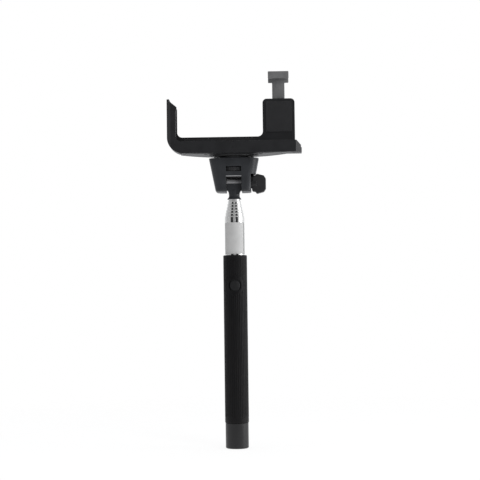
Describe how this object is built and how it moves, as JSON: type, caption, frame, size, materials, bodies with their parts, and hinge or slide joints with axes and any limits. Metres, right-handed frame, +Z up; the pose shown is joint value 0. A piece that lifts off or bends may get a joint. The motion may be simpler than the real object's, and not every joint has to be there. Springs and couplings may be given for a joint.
{
  "type": "selfie stick",
  "caption": "Telescoping hand-held pole with a ribbed grip, shutter button, tilting head and spring-clamp phone cradle, shown collapsed.",
  "frame": {"origin": "centre of the bottom face of the handle's end cap, on the pole's axis", "axes": "+Z up along the pole, -Y the side that the shutter button and the phone's screen face, +X to the right seen from that side; pole collapsed, head upright"},
  "size_m": [0.129, 0.047, 0.3605],
  "materials": {
    "cap_plastic": "satin moulded ABS, dark grey",
    "grip_rubber": "fine-ribbed soft rubber, black",
    "button_plastic": "satin black",
    "tube_steel": "bright rolled stainless steel",
    "wrap_film": "plain silver-grey film",
    "foot_nylon": "natural nylon",
    "wear_nylon": "grey nylon",
    "plate_steel": "zinc-plated sheet",
    "head_plastic": "bluish charcoal, fine spark texture",
    "cradle_plastic": "charcoal, satin",
    "hook_plastic": "mid grey, satin",
    "knob_plastic": "black, satin",
    "pad_rubber": "soft black rubber",
    "screw_steel": "zinc-plated",
    "insert_brass": "turned brass",
    "spring_steel": "drawn music wire",
    "board_green": "solder-masked board",
    "port_steel": "stamped shell",
    "switch_plastic": "black nylon",
    "lens_clear": "clear polycarbonate light pipe",
    "cell_wrap": "foil pouch",
    "ribbon_film": "polyimide film",
    "dome_steel": "stainless dome",
    "carrier_plastic": "black ABS"
  },
  "bodies": {
    "handle": {"end_cap": "cap_plastic", "cap_screw": "screw_steel", "electronics_carrier": "carrier_plastic", "circuit_board": "board_green", "charging_port": "port_steel", "power_switch": "switch_plastic", "charge_lens": "lens_clear", "battery_cell": "cell_wrap", "button_ribbon": "ribbon_film", "button_dome": "dome_steel", "grip_sleeve": "grip_rubber", "button_bezel": "grip_rubber", "outer_tube": "tube_steel", "tube_wrap": "wrap_film", "base_stop": "foot_nylon"},
    "power_slider": {"power_slider": "button_plastic"},
    "shutter_button": {"shutter_button": "button_plastic"},
    "section_1": {"section_1_tube": "tube_steel", "section_1_foot": "foot_nylon"},
    "section_2": {"section_2_tube": "tube_steel", "section_2_foot": "foot_nylon"},
    "section_3": {"section_3_tube": "tube_steel", "section_3_foot": "foot_nylon"},
    "section_4": {"section_4_tube": "tube_steel", "section_4_foot": "foot_nylon"},
    "section_5": {"section_5_tube": "tube_steel", "section_5_foot": "foot_nylon"},
    "section_6": {"section_6_tube": "tube_steel", "section_6_foot": "foot_nylon", "tilt_neck": "head_plastic", "wear_cap": "wear_nylon", "neck_pin": "screw_steel"},
    "head": {"head_front_shell": "head_plastic", "head_rear_shell": "head_plastic", "head_screws": "screw_steel", "friction_washers": "foot_nylon", "tilt_nut": "screw_steel", "hinge_plate": "plate_steel", "stud_clip": "screw_steel", "swivel_pad": "pad_rubber"},
    "tilt_knob": {"tilt_knob": "knob_plastic", "tilt_bolt": "screw_steel"},
    "mount_screw": {"thumbwheel": "knob_plastic", "mount_stud": "screw_steel"},
    "cradle": {"cradle_base": "cradle_plastic", "base_screws": "screw_steel", "thread_insert": "insert_brass", "cradle_tray": "cradle_plastic", "housing_cover": "cradle_plastic", "housing_screws": "screw_steel", "clamp_springs": "spring_steel", "floor_pad": "pad_rubber", "side_pad": "pad_rubber", "back_pads": "pad_rubber"},
    "clamp_arm": {"clamp_arm": "hook_plastic", "hook_pad": "pad_rubber"}
  },
  "joints": [
    {"name": "power_switch_slide", "type": "slide", "parent": "handle", "child": "power_slider", "axis": [1, 0, 0], "range_m": [0, 0.0022]},
    {"name": "shutter_press", "type": "slide", "parent": "handle", "child": "shutter_button", "axis": [0, 1, 0], "range_m": [0, 0.0005]},
    {"name": "section_1_extend", "type": "slide", "parent": "handle", "child": "section_1", "axis": [0, 0, 1], "range_m": [0, 0.125]},
    {"name": "section_2_extend", "type": "slide", "parent": "section_1", "child": "section_2", "axis": [0, 0, 1], "range_m": [0, 0.125]},
    {"name": "section_3_extend", "type": "slide", "parent": "section_2", "child": "section_3", "axis": [0, 0, 1], "range_m": [0, 0.125]},
    {"name": "section_4_extend", "type": "slide", "parent": "section_3", "child": "section_4", "axis": [0, 0, 1], "range_m": [0, 0.125]},
    {"name": "section_5_extend", "type": "slide", "parent": "section_4", "child": "section_5", "axis": [0, 0, 1], "range_m": [0, 0.125]},
    {"name": "section_6_extend", "type": "slide", "parent": "section_5", "child": "section_6", "axis": [0, 0, 1], "range_m": [0, 0.125]},
    {"name": "head_tilt", "type": "hinge", "parent": "section_6", "child": "head", "pos_m": [0, 0, 0.2551], "axis": [1, 0, 0], "range_deg": [-90, 90]},
    {"name": "tilt_knob_turn", "type": "hinge", "parent": "head", "child": "tilt_knob", "pos_m": [0.02, 0, 0.2551], "axis": [1, 0, 0], "range_deg": [0, 360]},
    {"name": "mount_screw_turn", "type": "hinge", "parent": "head", "child": "mount_screw", "pos_m": [0, 0, 0.27], "axis": [0, 0, 1], "continuous": true},
    {"name": "cradle_swivel", "type": "hinge", "parent": "head", "child": "cradle", "pos_m": [0, 0, 0.2806], "axis": [0, 0, 1], "range_deg": [-180, 180]},
    {"name": "clamp_slide", "type": "slide", "parent": "cradle", "child": "clamp_arm", "axis": [0, 0, 1], "range_m": [-0.015, 0.015], "deforming": ["clamp_springs"]}
  ]
}
